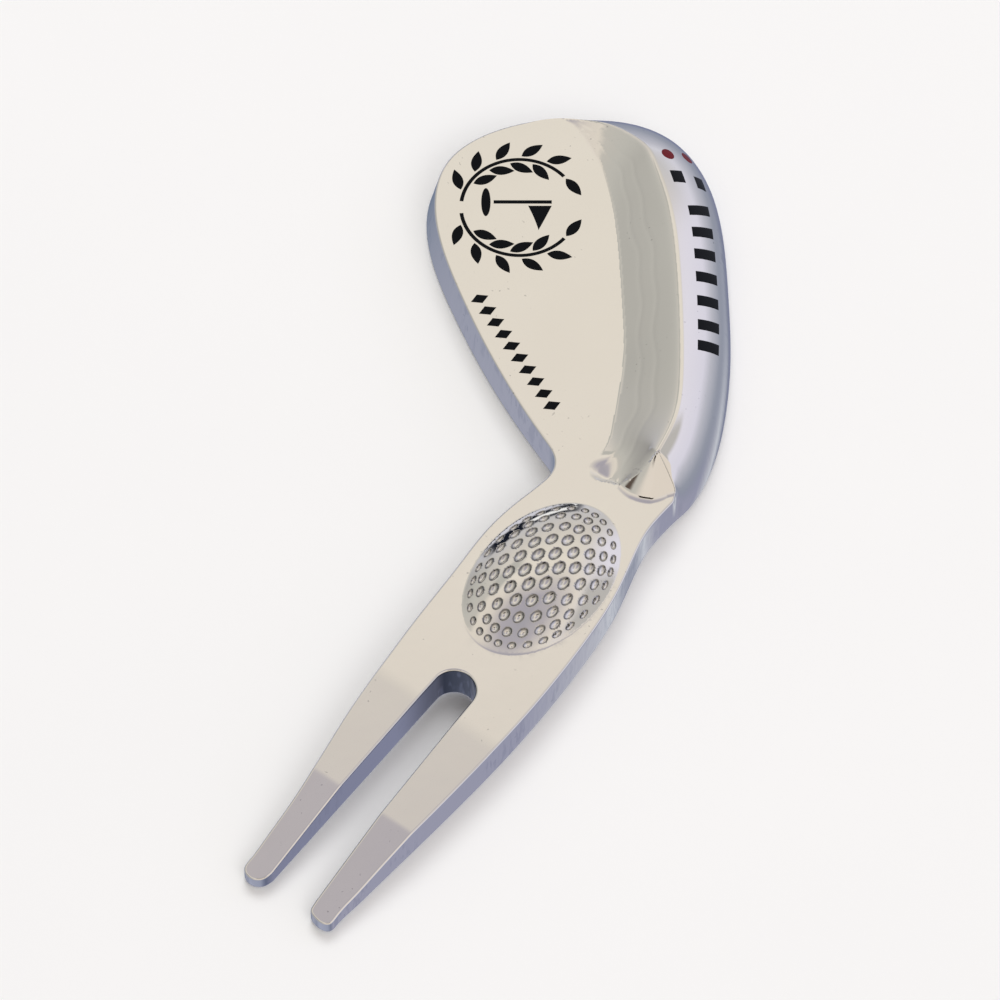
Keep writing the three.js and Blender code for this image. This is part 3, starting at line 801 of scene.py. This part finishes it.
def ellipse(radius_a, radius_b, count=40):
    turns = np.arange(count) * math.tau / count
    return np.column_stack([np.cos(turns) * radius_a, np.sin(turns) * radius_b])


def leaf(length, width):
    t = np.linspace(0, 1, 12)
    back = 1 - t
    x = length * (back ** 2 + 0.8 * back * t)
    y = 2 * back * t * width
    return np.vstack([np.column_stack([x, y])[:-1], np.column_stack([x, -y])[::-1][:-1]])


WREATH_CENTRE = (-29.6, 77.9)
WREATH_TURN = -0.93
WREATH_RADIUS = 6.1
STEM_WIDTH = 0.42
LEAF_LENGTH = 2.7
LEAF_WIDTH = 1.15
LEAF_SPLAY = 0.62
LEAF_GAP = 0.2


def wreath_surface(u, v, turn=0.0):
    cos, sin = math.cos(WREATH_TURN), math.sin(WREATH_TURN)
    x = WREATH_CENTRE[0] + u * cos - v * sin
    y = WREATH_CENTRE[1] + u * sin + v * cos
    return flat_surface(x, y, WREATH_TURN + turn)


def stem(side):
    angles = -math.pi / 2 + side * np.radians(np.linspace(7, 140, 50))
    ray = np.column_stack([np.cos(angles), np.sin(angles)])
    half = STEM_WIDTH / 2
    return np.vstack([ray * (WREATH_RADIUS + half), (ray * (WREATH_RADIUS - half))[::-1]])


def wreath_leaf(side, degrees, lean):
    angle = -math.pi / 2 + side * math.radians(degrees)
    reach = WREATH_RADIUS + lean * (STEM_WIDTH / 2 + LEAF_GAP)
    heading = angle + side * (math.pi / 2 - lean * LEAF_SPLAY)
    surface = wreath_surface(reach * math.cos(angle), reach * math.sin(angle), heading)
    return leaf(LEAF_LENGTH, LEAF_WIDTH), surface


def wreath_marks():
    for name, side in (("left", -1), ("right", 1)):
        yield f"wreath_stem_{name}", stem(side), wreath_surface(0, 0)
        for i, degrees in enumerate((20, 44, 68, 92, 116)):
            yield f"wreath_outer_leaf_{name}_{i + 1}", *wreath_leaf(side, degrees, 1)
        for i, degrees in enumerate((32, 56, 80, 104)):
            yield f"wreath_inner_leaf_{name}_{i + 1}", *wreath_leaf(side, degrees, -1)
        yield f"wreath_end_leaf_{name}", *wreath_leaf(side, 143, 0)


def flag_marks():
    pole = [(-0.9, -2.7), (-0.45, -2.7), (-0.45, 3.4), (-0.9, 3.4)]
    upper = natural_spline([0, 1, 2], [(2.9, 2.0), (1.4, 2.7), (-0.2, 3.4)], np.linspace(0, 2, 12))
    lower = natural_spline([0, 1, 2], [(-0.2, 0.9), (1.3, 1.5), (2.9, 2.0)], np.linspace(0, 2, 12))
    yield "flag_pole", pole, wreath_surface(0, 0)
    yield "flag_pennant", np.vstack([lower, upper[1:]]), wreath_surface(0, 0)
    yield "flag_hole", ellipse(1.8, 0.5), wreath_surface(-0.65, -3.5)


def lozenge_marks():
    first, last = np.array((-26.0, 66.2)), np.array((-12.2, 60.1))
    turn = math.atan2(last[1] - first[1], last[0] - first[0])
    shape = [(0.62, 0), (0.1, 1.0), (-0.62, 0), (-0.1, -1.0)]
    for i in range(10):
        x, y = first + (last - first) * i / 9
        yield f"topline_lozenge_{i + 1}", shape, flat_surface(x, y, turn)


def station(number):
    """Outline parameter of a station counted from the toe, which may be between two of them."""
    return np.interp(number, np.arange(len(SOLE)), STATION_AT[::-1])


def sole_marks():
    bar = [(-0.15, -1.65), (1.15, -1.65), (0.15, 1.65), (-1.15, 1.65)]
    block = [(-0.75, -0.8), (0.95, -0.8), (0.75, 0.8), (-0.95, 0.8)]
    for i in range(7):
        number = 6 + 2.343 * i / 6
        yield f"sole_bar_{i + 1}", bar, sole_surface(float(station(number)), math.radians(44))
    for i, tilt in enumerate((32, 54)):
        yield f"sole_block_{i + 1}", block, sole_surface(float(station(5.35)), math.radians(tilt))
        yield f"sole_dot_{i + 1}", ellipse(0.8, 0.8), sole_surface(float(station(4.75)), math.radians(tilt))


# ------------------------------------------------------------------ materials

def srgb(red, green, blue):
    """A colour given in 8-bit sRGB, as linear values."""
    channels = []
    for value in (red, green, blue):
        share = value / 255
        channels.append(share / 12.92 if share <= 0.04045 else ((share + 0.055) / 1.055) ** 2.4)
    return (*channels, 1.0)


class Nodes:
    """Short calls for building a node tree."""

    def __init__(self, tree):
        self.tree = tree
        tree.nodes.clear()

    def add(self, kind, inputs=(), **settings):
        node = self.tree.nodes.new(kind)
        for name, value in settings.items():
            setattr(node, name, value)
        for name, value in dict(inputs).items():
            self.set(node.inputs[name], value)
        return node

    def set(self, socket, value):
        if isinstance(value, bpy.types.NodeSocket):
            self.tree.links.new(value, socket)
        else:
            socket.default_value = value

    def maths(self, operation, *values):
        node = self.add("ShaderNodeMath", operation=operation)
        for socket, value in zip(node.inputs, values):
            self.set(socket, value)
        return node.outputs[0]

    def remap(self, value, from_low, from_high, to_low=0.0, to_high=1.0, smooth=True):
        node = self.add("ShaderNodeMapRange", {
            "Value": value, "From Min": from_low, "From Max": from_high,
            "To Min": to_low, "To Max": to_high},
            interpolation_type="SMOOTHSTEP" if smooth else "LINEAR")
        return node.outputs["Result"]

    def mix(self, factor, a, b):
        node = self.add("ShaderNodeMix", data_type="RGBA")
        self.set(node.inputs["Factor"], factor)
        self.set(node.inputs[6], a)
        self.set(node.inputs[7], b)
        return node.outputs[2]

    def ramp(self, value, stops):
        node = self.add("ShaderNodeValToRGB", {"Fac": value})
        elements = node.color_ramp.elements
        while len(elements) < len(stops):
            elements.new(0.5)
        for element, (position, colour) in zip(elements, stops):
            element.position = position
            element.color = colour
        return node.outputs["Color"]

    def noise(self, vector, scale, detail=2.0, roughness=0.5):
        node = self.add("ShaderNodeTexNoise", {
            "Vector": vector, "Scale": scale, "Detail": detail, "Roughness": roughness})
        return node.outputs["Fac"]


def material(name):
    made = bpy.data.materials.new(name)
    made.use_nodes = True
    return made, Nodes(made.node_tree)


def plated_metal():
    made, nodes = material("bright_plating")
    where = nodes.add("ShaderNodeTexCoord").outputs["Object"]
    clouds = nodes.noise(where, 140.0, 3.0)
    grain = nodes.noise(where, 2600.0, 4.0, 0.6)
    colour = nodes.mix(clouds, (0.90, 0.885, 0.86, 1), (0.93, 0.92, 0.90, 1))
    # Painted dark reflection: the steep lips of the dimples are painted nearly black.
    lip_shade = nodes.add("ShaderNodeAttribute", attribute_name="dimple_lip_shade").outputs["Fac"]
    colour = nodes.mix(nodes.maths("MULTIPLY", lip_shade, 0.8), colour, (0.035, 0.035, 0.042, 1))

    facing = nodes.add("ShaderNodeTexCoord").outputs["Normal"]
    up = nodes.maths("ABSOLUTE", nodes.add("ShaderNodeSeparateXYZ", {"Vector": facing}).outputs["Z"])
    wall = nodes.remap(up, 0.8, 0.3)
    places = nodes.add("ShaderNodeSeparateXYZ", {"Vector": where})
    slot_x, slot_y, _ = place(np.array([[0.0, SLOT_CENTRE_Y, 0.0]]))[0].tolist()
    aside = nodes.maths("ABSOLUTE", nodes.maths("SUBTRACT", places.outputs["X"], slot_x))
    ahead = nodes.maths("SUBTRACT", places.outputs["Y"], slot_y)
    # Painted shade: the inner walls of the slot are painted darker and bluer, and its far end nearly black,
    # where the tines shade each other.
    slot_shade = nodes.maths(
        "MULTIPLY", nodes.remap(aside, 3.2 * MM, 2.8 * MM), nodes.remap(ahead, 2.6 * MM, 2.3 * MM))
    slot_shade = nodes.maths("MULTIPLY", slot_shade, wall)
    slot_end_shade = nodes.maths("MULTIPLY", slot_shade, nodes.remap(ahead, -7 * MM, 0.5 * MM))
    colour = nodes.mix(slot_shade, colour, (0.58, 0.60, 0.66, 1))
    colour = nodes.mix(slot_end_shade, colour, (0.13, 0.14, 0.16, 1))
    mottle = nodes.maths("ADD", clouds, nodes.maths("MULTIPLY", grain, 0.6))
    roughness = nodes.remap(mottle, 0.5, 1.1, 0.02, 0.07)
    waves = nodes.add("ShaderNodeBump", {
        "Strength": 0.25, "Distance": 0.00004, "Height": nodes.noise(where, 230.0, 2.0)})
    strokes = nodes.add("ShaderNodeMapping", {"Vector": where, "Scale": (1.0, 1.0, 0.25)})
    strokes = nodes.maths("MULTIPLY", nodes.noise(strokes.outputs["Vector"], 1700.0, 1.0), wall)
    # Streaks painted bluish-grey into the colour of the steep walls, where the stroke noise is high.
    wall_streaks = nodes.maths("MULTIPLY", nodes.remap(strokes, 0.46, 0.62), nodes.remap(clouds, 0.5, 0.6))
    colour = nodes.mix(nodes.maths("MULTIPLY", wall_streaks, 0.28), colour, (0.45, 0.47, 0.54, 1))
    pits = nodes.remap(nodes.noise(where, 2600.0, 0.0), 0.79, 0.84)
    pits = nodes.maths("MULTIPLY", pits, nodes.remap(clouds, 0.5, 0.62))
    colour = nodes.mix(nodes.maths("MULTIPLY", pits, 0.4), colour, (0.3, 0.3, 0.32, 1))
    brushed = nodes.add("ShaderNodeBump", {
        "Strength": 0.35, "Distance": 0.00003, "Height": strokes, "Normal": waves.outputs["Normal"]})
    fine = nodes.add("ShaderNodeBump", {
        "Strength": 0.12, "Distance": 0.000004, "Height": grain, "Normal": brushed.outputs["Normal"]})
    shader = nodes.add("ShaderNodeBsdfPrincipled", {
        "Base Color": colour, "Metallic": 1.0, "Roughness": roughness, "Normal": fine.outputs["Normal"]})
    output = nodes.add("ShaderNodeOutputMaterial")
    nodes.set(output.inputs["Surface"], shader.outputs["BSDF"])
    return made


def enamel(name, dark, light):
    made, nodes = material(name)
    where = nodes.add("ShaderNodeTexCoord").outputs["Object"]
    clouds = nodes.noise(where, 900.0, 3.0)
    colour = nodes.mix(clouds, dark, light)
    roughness = nodes.remap(clouds, 0.3, 0.7, 0.16, 0.32)
    bump = nodes.add("ShaderNodeBump", {"Strength": 0.3, "Distance": 0.00001, "Height": clouds})
    shader = nodes.add("ShaderNodeBsdfPrincipled", {
        "Base Color": colour, "Roughness": roughness, "Normal": bump.outputs["Normal"],
        "Specular IOR Level": 0.08})
    output = nodes.add("ShaderNodeOutputMaterial")
    nodes.set(output.inputs["Surface"], shader.outputs["BSDF"])
    return made


def floor_material():
    made, nodes = material("pale_floor")
    where = nodes.add("ShaderNodeTexCoord").outputs["Object"]
    colour = nodes.mix(nodes.noise(where, 30.0, 4.0), (0.90, 0.912, 0.925, 1), (0.92, 0.93, 0.942, 1))
    shader = nodes.add("ShaderNodeBsdfPrincipled", {
        "Base Color": colour, "Roughness": 0.9, "Specular IOR Level": 0.1})
    output = nodes.add("ShaderNodeOutputMaterial")
    nodes.set(output.inputs["Surface"], shader.outputs["BSDF"])
    return made


# ------------------------------------------------------------------ the studio

CAMERA_AZIMUTH = math.radians(36.8)
CAMERA_ELEVATION = math.radians(58)
CAMERA_DISTANCE = 0.6
CAMERA_LENS = 211.7
CAMERA_TARGET = np.array([[-11.3, 50.06, 0.0]])


def studio_world():
    """What the bright metal mirrors: warm light overhead, cooler sides and a slate-blue table."""
    world = bpy.data.worlds.new("studio")
    world.use_nodes = True
    bpy.context.scene.world = world
    nodes = Nodes(world.node_tree)
    direction = nodes.add("ShaderNodeTexCoord").outputs["Generated"]
    parts = nodes.add("ShaderNodeSeparateXYZ", {"Vector": direction})
    x, y, z = (parts.outputs[k] for k in range(3))
    sin, cos = math.sin(CAMERA_AZIMUTH), math.cos(CAMERA_AZIMUTH)
    far = nodes.maths("ADD", nodes.maths("MULTIPLY", x, -sin), nodes.maths("MULTIPLY", y, cos))
    right = nodes.maths("ADD", nodes.maths("MULTIPLY", x, cos), nodes.maths("MULTIPLY", y, sin))
    elevation = nodes.maths("MULTIPLY", nodes.maths("ARCSINE", z), 180 / math.pi)
    turn = nodes.maths("MULTIPLY", nodes.maths("ARCTAN2", right, far), 180 / math.pi)
    height = nodes.remap(elevation, -90, 90, smooth=False)

    def stops(*pairs):
        return [((degrees + 90) / 180, srgb(*colour)) for degrees, colour in pairs]

    below = ((-60, (124, 130, 156)), (-25, (152, 157, 172)), (-8, (190, 191, 203)))
    far_side = nodes.ramp(height, stops(
        *below, (2, (214, 214, 224)), (18, (200, 198, 198)), (34, (212, 206, 198)), (55, (232, 225, 213)),
        (59, (230, 222, 211)), (62, (218, 211, 202)), (74, (174, 169, 178)), (90, (168, 165, 172))))
    right_side = nodes.ramp(height, stops(
        *below, (4, (222, 220, 234)), (34, (230, 227, 238)), (46, (222, 218, 222)), (58, (228, 220, 210)),
        (74, (184, 178, 182)), (90, (168, 165, 172))))
    left_side = nodes.ramp(height, stops(
        *below, (4, (150, 148, 146)), (22, (180, 178, 172)), (34, (193, 191, 184)), (45, (198, 194, 186)),
        (50, (226, 218, 206)), (60, (220, 212, 202)), (74, (178, 173, 180)), (90, (168, 165, 172))))
    near_side = nodes.ramp(height, stops(
        *below, (4, (206, 198, 186)), (24, (222, 212, 200)), (44, (230, 220, 208)), (60, (222, 214, 204)),
        (74, (178, 173, 180)), (90, (168, 165, 172))))
    bearing = nodes.remap(turn, -180, 180, smooth=False)
    table = nodes.ramp(bearing, [((degrees + 180) / 360, srgb(*shade)) for degrees, shade in (
        (-180, (152, 158, 180)), (-106, (164, 169, 190)), (-86, (142, 148, 168)), (-66, (160, 163, 181)),
        (-40, (138, 145, 163)),
        (-12, (114, 126, 146)), (6, (118, 124, 154)), (36, (132, 137, 158)), (52, (198, 202, 212)),
        (64, (176, 178, 192)), (76, (152, 154, 176)), (92, (156, 157, 178)), (130, (122, 128, 150)),
        (180, (152, 158, 180)))])

    level_squared = nodes.maths("SUBTRACT", 1.0, nodes.maths("MULTIPLY", z, z))
    level = nodes.maths("SQRT", nodes.maths("MAXIMUM", level_squared, 1e-4))
    far_share = nodes.maths("DIVIDE", far, level)
    right_share = nodes.maths("DIVIDE", right, level)
    sideways = nodes.mix(nodes.remap(right_share, -0.25, 0.25), left_side, right_side)
    depth = nodes.mix(nodes.remap(far_share, -0.2, 0.2), near_side, far_side)
    sides = nodes.maths("MULTIPLY", right_share, right_share)
    colour = nodes.mix(nodes.remap(sides, 0.15, 0.6), depth, sideways)

    colour = nodes.mix(nodes.remap(elevation, -50, -28), table, colour)

    def patch(colour, low, high, middle, half, shade, soft=3.0):
        """A patch of one colour between two elevations, about a direction in plan."""
        ahead, aside = math.cos(math.radians(middle)), math.sin(math.radians(middle))
        forward = nodes.maths(
            "ADD", nodes.maths("MULTIPLY", far, ahead), nodes.maths("MULTIPLY", right, aside))
        across = nodes.maths(
            "SUBTRACT", nodes.maths("MULTIPLY", right, ahead), nodes.maths("MULTIPLY", far, aside))
        off = nodes.maths("ABSOLUTE", nodes.maths("ARCTAN2", across, forward))
        off = nodes.maths("MULTIPLY", off, 180 / math.pi)
        rise = nodes.maths(
            "MULTIPLY", nodes.remap(elevation, low, low + soft), nodes.remap(elevation, high, high - soft))
        share = nodes.maths("MULTIPLY", rise, nodes.remap(off, half, half - soft * 2))
        return nodes.mix(share, colour, srgb(*shade))

    colour = patch(colour, 3, 17, -12, 22, (24, 28, 40))
    colour = patch(colour, 8, 13, -6, 12, (250, 250, 250), 1.5)
    colour = patch(colour, 24, 56, 92, 30, (190, 187, 184), 8.0)
    colour = patch(colour, 41, 54, -30, 18, (188, 186, 179), 4.0)
    colour = patch(colour, 18, 52, 136, 30, (228, 218, 206), 6.0)
    colour = patch(colour, 47, 60, -176, 34, (40, 32, 28), 2.0)
    colour = patch(colour, 28, 39, -108, 12, (92, 80, 72), 3.0)
    seen = nodes.add("ShaderNodeLightPath").outputs["Is Camera Ray"]
    colour = nodes.mix(seen, colour, srgb(246, 246, 247))
    background = nodes.add("ShaderNodeBackground", {"Color": colour, "Strength": 1.0})
    output = nodes.add("ShaderNodeOutputWorld")
    nodes.set(output.inputs["Surface"], background.outputs["Background"])


def soft_light(name, power, size, position):
    light = bpy.data.lights.new(name, "AREA")
    light.energy = power
    light.color = (0.97, 0.985, 1.0)
    light.shape = "DISK"
    light.size = size
    lamp = bpy.data.objects.new(name, light)
    lamp.location = position
    lamp.rotation_mode = "QUATERNION"
    lamp.rotation_quaternion = Vector(position).to_track_quat("Z", "Y")
    lamp.visible_glossy = False
    lamp.visible_camera = False
    bpy.context.scene.collection.objects.link(lamp)


def studio_floor():
    half = 1.5
    mesh = bpy.data.meshes.new("floor")
    corners = [(-half, -half, 0), (half, -half, 0), (half, half, 0), (-half, half, 0)]
    mesh.from_pydata(corners, [], [(0, 1, 2, 3)])
    mesh.materials.append(floor_material())
    floor = bpy.data.objects.new("floor", mesh)
    floor.location = (0, 0, -0.0001)
    floor.visible_glossy = False
    bpy.context.scene.collection.objects.link(floor)


def studio_camera():
    data = bpy.data.cameras.new("camera")
    data.lens = CAMERA_LENS
    data.sensor_width = 36
    data.clip_start, data.clip_end = 0.01, 20
    back = Vector((
        math.sin(CAMERA_AZIMUTH) * math.cos(CAMERA_ELEVATION),
        -math.cos(CAMERA_AZIMUTH) * math.cos(CAMERA_ELEVATION), math.sin(CAMERA_ELEVATION)))
    camera = bpy.data.objects.new("camera", data)
    camera.location = Vector(place(CAMERA_TARGET)[0]) + back * CAMERA_DISTANCE
    camera.rotation_mode = "QUATERNION"
    camera.rotation_quaternion = back.to_track_quat("Z", "Y")
    bpy.context.scene.collection.objects.link(camera)
    bpy.context.scene.camera = camera


# ------------------------------------------------------------------ assembly

def assemble():
    metal = plated_metal()
    black = enamel("black_enamel", (0.001, 0.0015, 0.003, 1), (0.003, 0.004, 0.006, 1))
    red = enamel("red_enamel", (0.10, 0.004, 0.008, 1), (0.16, 0.008, 0.014, 1))
    body = casting(metal)
    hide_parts("cast_body")
    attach(body, "root")
    for name, loop, surface in (*wreath_marks(), *flag_marks(), *lozenge_marks(), *sole_marks()):
        is_red = name.startswith("sole_dot")
        fill_piece = poured(f"{name}_fill", loop, surface, red if is_red else black)
        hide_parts(name)
        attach(fill_piece, "root")


assemble()
studio_world()
studio_floor()
studio_camera()
soft_light("key", 8.5, 0.9, (-0.5, 0.6, 1.3))
soft_light("fill", 4.5, 1.0, (0.9, -0.4, 1.1))
bpy.context.scene.view_settings.view_transform = "Standard"
